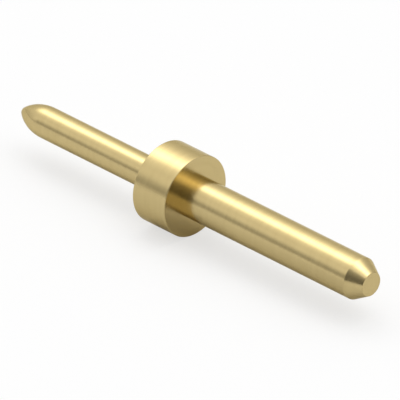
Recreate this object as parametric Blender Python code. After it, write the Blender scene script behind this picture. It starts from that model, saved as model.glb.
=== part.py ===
"""Solder pin: one piece, turned from brass rod and plated with gold.

The pin's axis is X. The collar's seating face, which lies on the board, is the plane X = 0. The
tail that is soldered into the board's hole runs from there towards +X, and the collar and the
plug pin with its bullet nose run towards -X.
"""

import math

import bmesh
import bpy
from mathutils import Matrix, Vector

MM = 0.001

# Plug pin, whose length includes its nose
PLUG_DIAMETER = 0.762 * MM
PLUG_LENGTH = 4.572 * MM
NOSE_RADIUS = 1.22 * MM
TIP_RADIUS = 0.14 * MM

# Collar
COLLAR_DIAMETER = 1.981 * MM
COLLAR_LENGTH = 1.016 * MM
COLLAR_EDGE_RADIUS = 0.015 * MM

# Solder tail, whose length includes its chamfer
TAIL_DIAMETER = 1.016 * MM
TAIL_LENGTH = 5.588 * MM
CHAMFER_LENGTH = 0.381 * MM
CHAMFER_ANGLE = math.radians(30)
TAIL_EDGE_RADIUS = 0.012 * MM

# Fineness of the solid, whose facets stay within about 0.001 mm of the true surface
STEPS_AROUND = 48
NOSE_STEPS = 8
TIP_STEPS = 3
EDGE_STEP_ANGLE = math.radians(45)
SHARP_ANGLE = math.radians(25)
WELD_DISTANCE = 0.0001 * MM

# Gold plating: linear colour, roughness, metallic
GOLD = (0.89, 0.68, 0.31, 1.0)
GOLD_ROUGHNESS = 0.2
GOLD_METALLIC = 1.0


def clear_scene():
    for obj in list(bpy.data.objects):
        bpy.data.objects.remove(obj, do_unlink=True)


def gold_plating():
    material = bpy.data.materials.new("gold_plating")
    material.use_nodes = True
    shader = material.node_tree.nodes["Principled BSDF"]
    shader.inputs["Base Color"].default_value = GOLD
    shader.inputs["Roughness"].default_value = GOLD_ROUGHNESS
    shader.inputs["Metallic"].default_value = GOLD_METALLIC
    return material


def bullet_nose():
    """Points (x, radius) from the tip to the plug pin's straight side.

    A small arc centred on the axis rounds the tip. It meets a large arc without a corner, and
    the large arc runs out into the straight side, also without a corner.
    """
    side = PLUG_DIAMETER / 2
    drop = NOSE_RADIUS - side
    run = math.sqrt((NOSE_RADIUS - TIP_RADIUS) ** 2 - drop**2)
    meeting_angle = math.atan2(run, drop)
    tip_centre = TIP_RADIUS - COLLAR_LENGTH - PLUG_LENGTH
    points = []
    for step in range(TIP_STEPS):
        angle = math.pi / 2 + (meeting_angle - math.pi / 2) * step / TIP_STEPS
        radius = TIP_RADIUS * math.cos(angle) if step else 0.0
        points.append((tip_centre - TIP_RADIUS * math.sin(angle), radius))
    for step in range(NOSE_STEPS + 1):
        angle = meeting_angle * (1 - step / NOSE_STEPS)
        x = tip_centre + run - NOSE_RADIUS * math.sin(angle)
        points.append((x, NOSE_RADIUS * math.cos(angle) - drop))
    return points


def rounded_corner(before, corner, after, radius):
    """Points of the arc that rounds a corner between two straight runs of the outline."""
    corner = Vector(corner)
    back = (Vector(before) - corner).normalized()
    ahead = (Vector(after) - corner).normalized()
    half_angle = back.angle(ahead) / 2
    centre = corner + (back + ahead).normalized() * radius / math.sin(half_angle)
    spoke = corner + back * radius / math.tan(half_angle) - centre
    turn = math.pi - 2 * half_angle
    steps = max(1, round(turn / EDGE_STEP_ANGLE))
    one_step = Matrix.Rotation(math.copysign(turn / steps, -back.cross(ahead)), 2)
    arc = [tuple(centre + spoke)]
    for _ in range(steps):
        spoke.rotate(one_step)
        arc.append(tuple(centre + spoke))
    return arc


def collar():
    side = COLLAR_DIAMETER / 2
    back_inner = (-COLLAR_LENGTH, PLUG_DIAMETER / 2)
    back_rim = (-COLLAR_LENGTH, side)
    seat_rim = (0.0, side)
    seat_inner = (0.0, TAIL_DIAMETER / 2)
    return [
        back_inner,
        *rounded_corner(back_inner, back_rim, seat_rim, COLLAR_EDGE_RADIUS),
        *rounded_corner(back_rim, seat_rim, seat_inner, COLLAR_EDGE_RADIUS),
        seat_inner,
    ]


def tail():
    side = TAIL_DIAMETER / 2
    chamfer_start = (TAIL_LENGTH - CHAMFER_LENGTH, side)
    end_rim = (TAIL_LENGTH, side - CHAMFER_LENGTH * math.tan(CHAMFER_ANGLE))
    end_centre = (TAIL_LENGTH, 0.0)
    return [
        chamfer_start,
        *rounded_corner(chamfer_start, end_rim, end_centre, TAIL_EDGE_RADIUS),
        end_centre,
    ]


def turned(name, outline, material):
    """A solid of revolution about X from its outline, given as (x, radius) from end to end.

    The outline's two ends lie on the axis, where the copies of a point are welded into one.
    """
    shape = bmesh.new()
    verts = [shape.verts.new((x, 0.0, radius)) for x, radius in outline]
    edges = [shape.edges.new(pair) for pair in zip(verts, verts[1:])]
    bmesh.ops.spin(
        shape,
        geom=verts + edges,
        cent=(0.0, 0.0, 0.0),
        axis=(1.0, 0.0, 0.0),
        angle=2 * math.pi,
        steps=STEPS_AROUND,
        use_merge=True,
    )
    bmesh.ops.remove_doubles(shape, verts=shape.verts, dist=WELD_DISTANCE)
    bmesh.ops.recalc_face_normals(shape, faces=shape.faces)
    mesh = bpy.data.meshes.new(name)
    shape.to_mesh(mesh)
    shape.free()
    mesh.materials.append(material)
    mesh.shade_smooth()
    mesh.set_sharp_from_angle(angle=SHARP_ANGLE)
    obj = bpy.data.objects.new(name, mesh)
    bpy.context.scene.collection.objects.link(obj)
    return obj


clear_scene()
turned("solder_pin", bullet_nose() + collar() + tail(), gold_plating())
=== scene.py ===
"""Looks for a turned and gold-plated solder pin, lying on its collar on a plain pale floor."""

import math

import bmesh
import bpy
from mathutils import Matrix, Vector


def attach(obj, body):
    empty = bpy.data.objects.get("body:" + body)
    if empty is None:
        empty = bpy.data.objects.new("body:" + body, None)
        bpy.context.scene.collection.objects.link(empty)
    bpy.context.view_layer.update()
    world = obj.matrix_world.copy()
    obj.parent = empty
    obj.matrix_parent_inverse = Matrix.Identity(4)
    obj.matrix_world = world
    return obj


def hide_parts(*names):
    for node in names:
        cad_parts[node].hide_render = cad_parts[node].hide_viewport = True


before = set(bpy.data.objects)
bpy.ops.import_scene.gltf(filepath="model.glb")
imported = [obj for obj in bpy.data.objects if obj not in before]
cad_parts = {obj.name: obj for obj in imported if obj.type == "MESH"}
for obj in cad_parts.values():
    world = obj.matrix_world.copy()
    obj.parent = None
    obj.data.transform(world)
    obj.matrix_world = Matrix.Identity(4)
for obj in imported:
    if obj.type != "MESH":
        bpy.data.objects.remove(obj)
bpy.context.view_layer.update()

MM = 0.001

# Plug pin, whose length includes its nose
PLUG_DIAMETER = 0.762 * MM
PLUG_LENGTH = 4.572 * MM
NOSE_RADIUS = 1.22 * MM
TIP_RADIUS = 0.14 * MM

# Collar
COLLAR_DIAMETER = 1.981 * MM
COLLAR_LENGTH = 1.016 * MM
COLLAR_EDGE_RADIUS = 0.015 * MM

# Solder tail, whose length includes its chamfer
TAIL_DIAMETER = 1.016 * MM
TAIL_LENGTH = 5.588 * MM
CHAMFER_LENGTH = 0.381 * MM
CHAMFER_ANGLE = math.radians(30)
CHAMFER_EDGE_RADIUS = 0.02 * MM
TAIL_EDGE_RADIUS = 0.012 * MM

# Fineness of the turned surface
STEPS_AROUND = 240
NOSE_STEPS = 40
TIP_STEPS = 10
EDGE_STEP_ANGLE = math.radians(15)
HOLDING_LENGTH = 0.012 * MM
SHARP_ANGLE = math.radians(20)
WELD_DISTANCE = 0.00005 * MM
ALONG = "along_outline"

# Gold plating. The lathe's rings under it are really about 0.015 mm apart, and are drawn coarser
# so that they show. The plating is a little rougher where its clouds are at their highest
GOLD_COLOUR = "#C9B683"
DEEP_GOLD_COLOUR = "#BBA775"
GOLD_EDGE_COLOUR = "#E6E0CD"
RING_SPACING = 0.11 * MM
RING_REACH = 1.6 * MM
RING_DEPTH = 0.002 * MM
RING_DETAIL = 3.0
RING_CRISPNESS = 0.7
GRAIN_SIZE = 0.03 * MM
GRAIN_DEPTH = 0.0002 * MM
GRAIN_DETAIL = 1.0
CLOUD_SIZE = 0.5 * MM
CLOUD_DETAIL = 4.0
CLOUD_ROUGHNESS = ((0.35, 0.19), (0.65, 0.23))

# Camera: it looks down on the pin from the tail's side, through a lens so long that the pin
# hardly narrows with distance
VIEW_AZIMUTH = math.radians(45)
VIEW_ELEVATION = math.radians(30)
LENS = 1150.0
SENSOR_WIDTH = 36.0
NEAREST_SEEN = 0.01
FARTHEST_SEEN = 10.0
PIXELS_ACROSS = 400
PIXELS_PER_MM = 44.08
SEAT_CENTRE_PIXEL = (195.15, 196.48)

# Floor and studio are painted by place and by direction. Each list of stops pairs a measure with
# the level there. For a side, the measure is how far a direction points that way, from -1 to 1
WHITE = (1.0, 1.0, 1.0, 1.0)
TAIL_SIDE = (1.0, 0.0, 0.0)

# Floor. Most of what the camera sees of it is plain white, so its shadow is faint. Metal sees
# little of that white, but nearly all where the tail and the collar's face mirror the floor one
# after the other, from TWICE_MIRRORED_SIDE. There it is painted light, a glow that lifts the
# floor's shadow in that double reflection
FLOOR_SIZE = 3.0
FLOOR_COLOUR = "#FCFCFC"
WHITE_SHARE = 0.65
TWICE_MIRRORED_SIDE = (-0.8, 0.5, 0.33)
PAINTED_GLOW_IN_METAL = ((0.77, 0.05), (0.88, 0.95))

# Painted shade on the floor, which only metal and glass show. The pin's lower half, which looks
# down at it from LOWER_HALF_SIDE, shows it darker towards the tail. The chamfer shows it darker
# below itself
NOSE_END_OF_PAINTED_SHADE = "#FFFFFF"
TAIL_END_OF_PAINTED_SHADE = "#E8E8E8"
PAINTED_SHADE_TAILWARD = ((-5.0 * MM, 0.0), (4.0 * MM, 1.0))
LOWER_HALF_SIDE = (0.61, 0.75, 0.25)
PAINTED_SHADE_OFF_LOWER_HALF = ((0.62, 1.0), (0.85, 0.0))
PAINTED_SHADE_BY_CHAMFER = "#F0F0F0"
PAINTED_SHADE_UNDER_CHAMFER = ((4.8 * MM, 0.0), (5.05 * MM, 1.0), (5.95 * MM, 1.0), (6.15 * MM, 0.0))

# Studio. Matt surfaces get MATT_SHARE of its light. Its walls are dim towards WALL_SIDE, which is
# behind and below the camera
MATT_SHARE = 0.69
WALL_SIDE = (0.38, -0.82, -0.3)
WALL_LEVELS = (
    (-0.8, 0.86),
    (-0.5, 1.03),
    (-0.1, 1.05),
    (0.1, 1.19),
    (0.2, 1.14),
    (0.34, 0.48),
    (0.5, 0.39),
    (0.66, 0.25),
    (1.0, 0.16),
)

# A band low on the walls, which fades out at SKIRTING_HEIGHT and towards the tail
SKIRTING_LEVEL = 0.9
SKIRTING_HEIGHT = 0.16
SKIRTING_REACH = ((-0.4, 1.0), (0.2, 0.0))

# The far corner and the low one beyond the nose are dimmer, and the wall beyond the tail lighter
FAR_CORNER_SIDE = (0.707, 0.707, 0.0)
FAR_CORNER_DIMMING = ((0.495, 1.0), (0.99, 0.44))
NOSE_CORNER_SIDE = (-0.9, -0.3, -0.3)
NOSE_CORNER_DIMMING = ((0.75, 1.0), (0.81, 0.86), (0.9, 0.78))
TAIL_WALL_LIFT = ((0.42, 1.0), (0.6, 1.26))

# Long soft light above the pin. Its levels go by the angle from straight up, in degrees away from
# the camera's side, and by how far a direction points towards the tail
STRIP_ACROSS = (
    (-36, 0.0),
    (-12, 0.42),
    (-1, 1.8),
    (8, 2.6),
    (15, 2.38),
    (28, 1.25),
    (40, 0.6),
    (52, 0.25),
    (70, 0.0),
)
STRIP_ALONG = (
    (-0.85, 0.0),
    (-0.67, 0.92),
    (-0.55, 1.08),
    (-0.2, 0.9),
    (0.0, 0.45),
    (0.09, 0.5),
    (0.17, 1.3),
    (0.25, 1.3),
    (0.35, 0.75),
    (0.6, 0.56),
    (1.0, 0.0),
)

# A mix node's sockets for values and for colours, by number because their names are the same
VALUE_A, VALUE_B, MIXED_VALUE = 2, 3, 0
COLOUR_A, COLOUR_B, MIXED_COLOUR = 6, 7, 2


def bullet_nose():
    """Points (x, radius) from the tip to the plug pin's straight side.

    A small arc centred on the axis rounds the tip. It meets a large arc without a corner, and
    the large arc runs out into the straight side, also without a corner.
    """
    side = PLUG_DIAMETER / 2
    drop = NOSE_RADIUS - side
    run = math.sqrt((NOSE_RADIUS - TIP_RADIUS) ** 2 - drop**2)
    meeting_angle = math.atan2(run, drop)
    tip_centre = TIP_RADIUS - COLLAR_LENGTH - PLUG_LENGTH
    points = []
    for step in range(TIP_STEPS):
        angle = math.pi / 2 + (meeting_angle - math.pi / 2) * step / TIP_STEPS
        radius = TIP_RADIUS * math.cos(angle) if step else 0.0
        points.append((tip_centre - TIP_RADIUS * math.sin(angle), radius))
    for step in range(NOSE_STEPS + 1):
        angle = meeting_angle * (1 - step / NOSE_STEPS)
        x = tip_centre + run - NOSE_RADIUS * math.sin(angle)
        points.append((x, NOSE_RADIUS * math.cos(angle) - drop))
    return [*points, (tip_centre + run + HOLDING_LENGTH, side)]


def rounded_corner(before, corner, after, radius):
    """Points of the arc that rounds a corner between two straight runs of the outline.

    A point a little before the arc and one a little after it keep the runs' shading straight.
    """
    corner = Vector(corner)
    back = (Vector(before) - corner).normalized()
    ahead = (Vector(after) - corner).normalized()
    half_angle = back.angle(ahead) / 2
    centre = corner + (back + ahead).normalized() * radius / math.sin(half_angle)
    spoke = corner + back * radius / math.tan(half_angle) - centre
    turn = math.pi - 2 * half_angle
    steps = max(1, round(turn / EDGE_STEP_ANGLE))
    one_step = Matrix.Rotation(math.copysign(turn / steps, -back.cross(ahead)), 2)
    arc = [centre + spoke]
    for _ in range(steps):
        spoke.rotate(one_step)
        arc.append(centre + spoke)
    points = [arc[0] + back * HOLDING_LENGTH, *arc, arc[-1] + ahead * HOLDING_LENGTH]
    return [tuple(point) for point in points]


def collar():
    side = COLLAR_DIAMETER / 2
    back_inner = (-COLLAR_LENGTH, PLUG_DIAMETER / 2)
    back_rim = (-COLLAR_LENGTH, side)
    seat_rim = (0.0, side)
    seat_inner = (0.0, TAIL_DIAMETER / 2)
    return [
        back_inner,
        *rounded_corner(back_inner, back_rim, seat_rim, COLLAR_EDGE_RADIUS),
        *rounded_corner(back_rim, seat_rim, seat_inner, COLLAR_EDGE_RADIUS),
        seat_inner,
    ]


def tail():
    side = TAIL_DIAMETER / 2
    straight_start = (0.0, side)
    chamfer_start = (TAIL_LENGTH - CHAMFER_LENGTH, side)
    end_rim = (TAIL_LENGTH, side - CHAMFER_LENGTH * math.tan(CHAMFER_ANGLE))
    end_centre = (TAIL_LENGTH, 0.0)
    return [
        *rounded_corner(straight_start, chamfer_start, end_rim, CHAMFER_EDGE_RADIUS),
        *rounded_corner(chamfer_start, end_rim, end_centre, TAIL_EDGE_RADIUS),
        end_centre,
    ]


def turned(name, outline, material):
    """A solid of revolution about X from its outline, given as (x, radius) from end to end.

    Each point keeps its distance along the outline, which the rings of the finish follow.
    """
    shape = bmesh.new()
    along = shape.verts.layers.float.new(ALONG)
    verts = [shape.verts.new((x, 0.0, radius)) for x, radius in outline]
    for before, vert in zip(verts, verts[1:]):
        vert[along] = before[along] + (vert.co - before.co).length
    edges = [shape.edges.new(pair) for pair in zip(verts, verts[1:])]
    bmesh.ops.spin(
        shape,
        geom=verts + edges,
        cent=(0.0, 0.0, 0.0),
        axis=(1.0, 0.0, 0.0),
        angle=2 * math.pi,
        steps=STEPS_AROUND,
        use_merge=True,
    )
    bmesh.ops.remove_doubles(shape, verts=shape.verts, dist=WELD_DISTANCE)
    bmesh.ops.recalc_face_normals(shape, faces=shape.faces)
    mesh = bpy.data.meshes.new(name)
    shape.to_mesh(mesh)
    shape.free()
    mesh.materials.append(material)
    mesh.shade_smooth()
    mesh.set_sharp_from_angle(angle=SHARP_ANGLE)
    obj = bpy.data.objects.new(name, mesh)
    bpy.context.scene.collection.objects.link(obj)
    return obj


def linear(hex_colour):
    """An sRGB hex colour as linear red, green, blue and alpha, by the standard's curve."""
    colour = []
    for start in (1, 3, 5):
        channel = int(hex_colour[start : start + 2], 16) / 255
        if channel <= 0.04045:
            colour.append(channel / 12.92)
        else:
            colour.append(((channel + 0.055) / 1.055) ** 2.4)
    return (*colour, 1.0)


def set_inputs(tree, node, inputs):
    """Sets inputs, by name or number, each to a value or to the socket that feeds it."""
    for name, value in inputs.items():
        if isinstance(value, bpy.types.NodeSocket):
            tree.links.new(value, node.inputs[name])
        else:
            node.inputs[name].default_value = value


def add_node(tree, kind, inputs=None, **settings):
    """A node of this kind, with its settings and its inputs."""
    node = tree.nodes.new(kind)
    for name, value in settings.items():
        setattr(node, name, value)
    set_inputs(tree, node, inputs or {})
    return node


def level_along(tree, value, stops):
    """A grey level that follows a value through stops, and is steady before and after them."""
    first = stops[0][0]
    last = stops[-1][0]
    place = add_node(
        tree, "ShaderNodeMapRange", {"Value": value, "From Min": first, "From Max": last}
    )
    ramp = add_node(tree, "ShaderNodeValToRGB", {"Fac": place.outputs["Result"]})
    elements = ramp.color_ramp.elements
    while len(elements) < len(stops):
        elements.new(1.0)
    for element, (at, level) in zip(elements, stops):
        element.position = (at - first) / (last - first)
        element.color = (level, level, level, 1.0)
    return ramp.outputs["Color"]


def level_by_side(tree, direction, side, stops):
    """A grey level that follows how far a direction points to a side."""
    pointing = add_node(
        tree, "ShaderNodeVectorMath", {0: direction, 1: side}, operation="DOT_PRODUCT"
    )
    return level_along(tree, pointing.outputs["Value"], stops)


def level_by_ray(tree, camera, metal, matt):
    """The level for the ray's kind: the camera's, one from metal or glass, or any other."""
    ray = add_node(tree, "ShaderNodeLightPath").outputs
    from_metal = add_node(
        tree,
        "ShaderNodeMath",
        {0: ray["Is Glossy Ray"], 1: ray["Is Transmission Ray"]},
        operation="ADD",
        use_clamp=True,
    )
    level = matt
    for is_kind, own_level in (
        (from_metal.outputs[0], metal),
        (ray["Is Camera Ray"], camera),
    ):
        level = add_node(
            tree,
            "ShaderNodeMix",
            {"Factor": is_kind, VALUE_A: level, VALUE_B: own_level},
            data_type="FLOAT",
        ).outputs[MIXED_VALUE]
    return level


def lathe_rings(tree, place):
    """Height of the lathe's rings, which run round the pin and change slowly along each ring."""
    along = add_node(tree, "ShaderNodeAttribute", attribute_name=ALONG).outputs["Fac"]
    ring = add_node(
        tree, "ShaderNodeMath", {0: along, 1: 1 / RING_SPACING}, operation="MULTIPLY"
    )
    reach = add_node(
        tree, "ShaderNodeVectorMath", {0: place, "Scale": 1 / RING_REACH}, operation="SCALE"
    )
    return add_node(
        tree,
        "ShaderNodeTexNoise",
        {
            "Vector": reach.outputs["Vector"],
            "W": ring.outputs[0],
            "Scale": 1.0,
            "Detail": RING_DETAIL,
            "Roughness": RING_CRISPNESS,
        },
        noise_dimensions="4D",
    ).outputs["Fac"]


def plated_surface(tree, place, rings):
    """The surface's bumps: the lathe's rings, and on them the fine grain of the plating."""
    grain = add_node(
        tree,
        "ShaderNodeTexNoise",
        {"Vector": place, "Scale": 1 / GRAIN_SIZE, "Detail": GRAIN_DETAIL},
    )
    ringed = add_node(tree, "ShaderNodeBump", {"Height": rings, "Distance": RING_DEPTH})
    return add_node(
        tree,
        "ShaderNodeBump",
        {
            "Height": grain.outputs["Fac"],
            "Distance": GRAIN_DEPTH,
            "Normal": ringed.outputs["Normal"],
        },
    ).outputs["Normal"]


def gold_plating():
    """Bright gold plated over turned brass.

    The eye sees pale yellow metal with soft-edged highlights, crossed by the faint rings that
    the lathe left under the plating, and clouded a little where the plating is duller.
    """
    material = bpy.data.materials.new("gold_plating")
    material.use_nodes = True
    tree = material.node_tree
    place = add_node(tree, "ShaderNodeTexCoord").outputs["Object"]
    rings = lathe_rings(tree, place)
    clouds = add_node(
        tree,
        "ShaderNodeTexNoise",
        {"Vector": place, "Scale": 1 / CLOUD_SIZE, "Detail": CLOUD_DETAIL},
    ).outputs["Fac"]
    tone = add_node(
        tree,
        "ShaderNodeMix",
        {
            "Factor": rings,
            COLOUR_A: linear(GOLD_COLOUR),
            COLOUR_B: linear(DEEP_GOLD_COLOUR),
        },
        data_type="RGBA",
    ).outputs[MIXED_COLOUR]
    set_inputs(
        tree,
        tree.nodes["Principled BSDF"],
        {
            "Base Color": tone,
            "Metallic": 1.0,
            "Roughness": level_along(tree, clouds, CLOUD_ROUGHNESS),
            "Specular Tint": linear(GOLD_EDGE_COLOUR),
            "Normal": plated_surface(tree, place, rings),
        },
    )
    return material


def floor_colour_with_painted_shade(tree):
    """The paint's colour, and painted shade on it. Each tone covers the ones before it, as far as
    its level says.

    The last one leaves all but metal and glass with the floor's own colour, so only they show
    the painted shade.
    """
    place = add_node(tree, "ShaderNodeTexCoord").outputs["Object"]
    along_pin = add_node(tree, "ShaderNodeSeparateXYZ", {"Vector": place}).outputs["X"]
    seen_from = add_node(tree, "ShaderNodeNewGeometry").outputs["Incoming"]
    tone = linear(NOSE_END_OF_PAINTED_SHADE)
    # Painted shade: darker towards the tail and under the chamfer, for metal and glass only
    for level, colour in (
        (level_along(tree, along_pin, PAINTED_SHADE_TAILWARD), TAIL_END_OF_PAINTED_SHADE),
        (level_by_side(tree, seen_from, LOWER_HALF_SIDE, PAINTED_SHADE_OFF_LOWER_HALF), FLOOR_COLOUR),
        (level_along(tree, along_pin, PAINTED_SHADE_UNDER_CHAMFER), PAINTED_SHADE_BY_CHAMFER),
        (level_by_ray(tree, camera=1.0, metal=0.0, matt=1.0), FLOOR_COLOUR),
    ):
        tone = add_node(
            tree,
            "ShaderNodeMix",
            {"Factor": level, COLOUR_A: tone, COLOUR_B: linear(colour)},
            data_type="RGBA",
        ).outputs[MIXED_COLOUR]
    return tone


def floor_paint_with_painted_light():
    """White matt paint, with the shadow on it kept faint, and painted shade and light for metal.

    The camera sees most of it as plain white. Metal and glass mostly see far less of that
    white, so that the pin's underside keeps its shade, but nearly all of it where they mirror it
    twice: painted light that lifts the floor's shadow there. It lights nothing.
    """
    material = bpy.data.materials.new("floor_paint_with_painted_light")
    material.use_nodes = True
    tree = material.node_tree
    shader = tree.nodes["Principled BSDF"]
    set_inputs(
        tree,
        shader,
        {"Base Color": floor_colour_with_painted_shade(tree), "Roughness": 1.0, "Specular IOR Level": 0.0},
    )
    seen_from = add_node(tree, "ShaderNodeNewGeometry").outputs["Incoming"]
    # Painted light: to metal the floor glows white from TWICE_MIRRORED_SIDE, lifting its shadow
    painted_glow_in_metal = level_by_side(tree, seen_from, TWICE_MIRRORED_SIDE, PAINTED_GLOW_IN_METAL)
    white = add_node(tree, "ShaderNodeEmission", {"Color": WHITE, "Strength": 1.0})
    mixed = add_node(
        tree,
        "ShaderNodeMixShader",
        {
            0: level_by_ray(tree, camera=WHITE_SHARE, metal=painted_glow_in_metal, matt=0.0),
            1: shader.outputs["BSDF"],
            2: white.outputs["Emission"],
        },
    )
    set_inputs(tree, tree.nodes["Material Output"], {"Surface": mixed.outputs["Shader"]})
    return material


def lay_floor():
    """A plain pale floor that the collar just touches."""
    shape = bmesh.new()
    bmesh.ops.create_grid(shape, x_segments=1, y_segments=1, size=FLOOR_SIZE / 2)
    bmesh.ops.translate(shape, verts=shape.verts, vec=(0.0, 0.0, -COLLAR_DIAMETER / 2))
    mesh = bpy.data.meshes.new("floor")
    shape.to_mesh(mesh)
    shape.free()
    mesh.materials.append(floor_paint_with_painted_light())
    obj = bpy.data.objects.new("floor", mesh)
    bpy.context.scene.collection.objects.link(obj)


def camera_axes():
    """The camera's right, up and back directions."""
    back = Vector(
        (
            math.sin(VIEW_AZIMUTH) * math.cos(VIEW_ELEVATION),
            -math.cos(VIEW_AZIMUTH) * math.cos(VIEW_ELEVATION),
            math.sin(VIEW_ELEVATION),
        )
    )
    right = Vector((math.cos(VIEW_AZIMUTH), math.sin(VIEW_AZIMUTH), 0.0))
    return right, back.cross(right), back


def place_camera():
    """A camera that shows the centre of the collar's seating face at its own pixel."""
    right, up, back = camera_axes()
    data = bpy.data.cameras.new("camera")
    data.lens = LENS
    data.sensor_width = SENSOR_WIDTH
    data.clip_start = NEAREST_SEEN
    data.clip_end = FARTHEST_SEEN
    pixel = MM / PIXELS_PER_MM
    across = PIXELS_ACROSS / 2 - SEAT_CENTRE_PIXEL[0]
    down = PIXELS_ACROSS / 2 - SEAT_CENTRE_PIXEL[1]
    aim = (right * across - up * down) * pixel
    distance = PIXELS_ACROSS * pixel * LENS / SENSOR_WIDTH
    camera = bpy.data.objects.new("camera", data)
    camera.location = aim + back * distance
    camera.rotation_mode = "QUATERNION"
    camera.rotation_quaternion = back.to_track_quat("Z", "Y")
    bpy.context.scene.collection.objects.link(camera)
    bpy.context.scene.camera = camera


def studio_walls(tree, direction, height):
    """Pale walls, with their skirting, their dim corners and the lighter end beyond the tail."""
    low = add_node(
        tree,
        "ShaderNodeMapRange",
        {"Value": height, "From Min": SKIRTING_HEIGHT, "From Max": 0.0},
        interpolation_type="SMOOTHSTEP",
    )
    skirting = add_node(
        tree,
        "ShaderNodeMath",
        {
            0: low.outputs["Result"],
            1: level_by_side(tree, direction, TAIL_SIDE, SKIRTING_REACH),
        },
        operation="MULTIPLY",
    )
    level = add_node(
        tree,
        "ShaderNodeMix",
        {
            "Factor": skirting.outputs[0],
            VALUE_A: level_by_side(tree, direction, WALL_SIDE, WALL_LEVELS),
            VALUE_B: SKIRTING_LEVEL,
        },
        data_type="FLOAT",
    ).outputs[MIXED_VALUE]
    for side, stops in (
        (FAR_CORNER_SIDE, FAR_CORNER_DIMMING),
        (NOSE_CORNER_SIDE, NOSE_CORNER_DIMMING),
        (TAIL_SIDE, TAIL_WALL_LIFT),
    ):
        level = add_node(
            tree,
            "ShaderNodeMath",
            {0: level, 1: level_by_side(tree, direction, side, stops)},
            operation="MULTIPLY",
        ).outputs[0]
    return level


def overhead_light(tree, direction, parts):
    """A long soft light above the pin and along it."""
    lean = add_node(
        tree, "ShaderNodeMath", {0: parts["Y"], 1: parts["Z"]}, operation="ARCTAN2"
    )
    across = [(math.radians(angle), level) for angle, level in STRIP_ACROSS]
    return add_node(
        tree,
        "ShaderNodeMath",
        {
            0: level_along(tree, lean.outputs[0], across),
            1: level_by_side(tree, direction, TAIL_SIDE, STRIP_ALONG),
        },
        operation="MULTIPLY",
    ).outputs[0]


def light_studio():
    """A soft studio, painted by direction from the pin.

    Matt surfaces get a part of its level, so that their colours render about as written.
    """
    world = bpy.data.worlds.new("studio")
    bpy.context.scene.world = world
    world.use_nodes = True
    tree = world.node_tree
    tree.nodes.clear()
    direction = add_node(tree, "ShaderNodeTexCoord").outputs["Generated"]
    parts = add_node(tree, "ShaderNodeSeparateXYZ", {"Vector": direction}).outputs
    level = add_node(
        tree,
        "ShaderNodeMath",
        {
            0: studio_walls(tree, direction, parts["Z"]),
            1: overhead_light(tree, direction, parts),
        },
        operation="ADD",
    )
    share = level_by_ray(tree, camera=1.0, metal=1.0, matt=MATT_SHARE)
    strength = add_node(
        tree, "ShaderNodeMath", {0: level.outputs[0], 1: share}, operation="MULTIPLY"
    )
    background = add_node(
        tree, "ShaderNodeBackground", {"Color": WHITE, "Strength": strength.outputs[0]}
    )
    add_node(tree, "ShaderNodeOutputWorld", {"Surface": background.outputs["Background"]})


place_camera()
lay_floor()
light_studio()

pin = turned("pin", bullet_nose() + collar() + tail(), gold_plating())
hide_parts("solder_pin")
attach(pin, "root")

bpy.context.scene.view_settings.view_transform = "Standard"
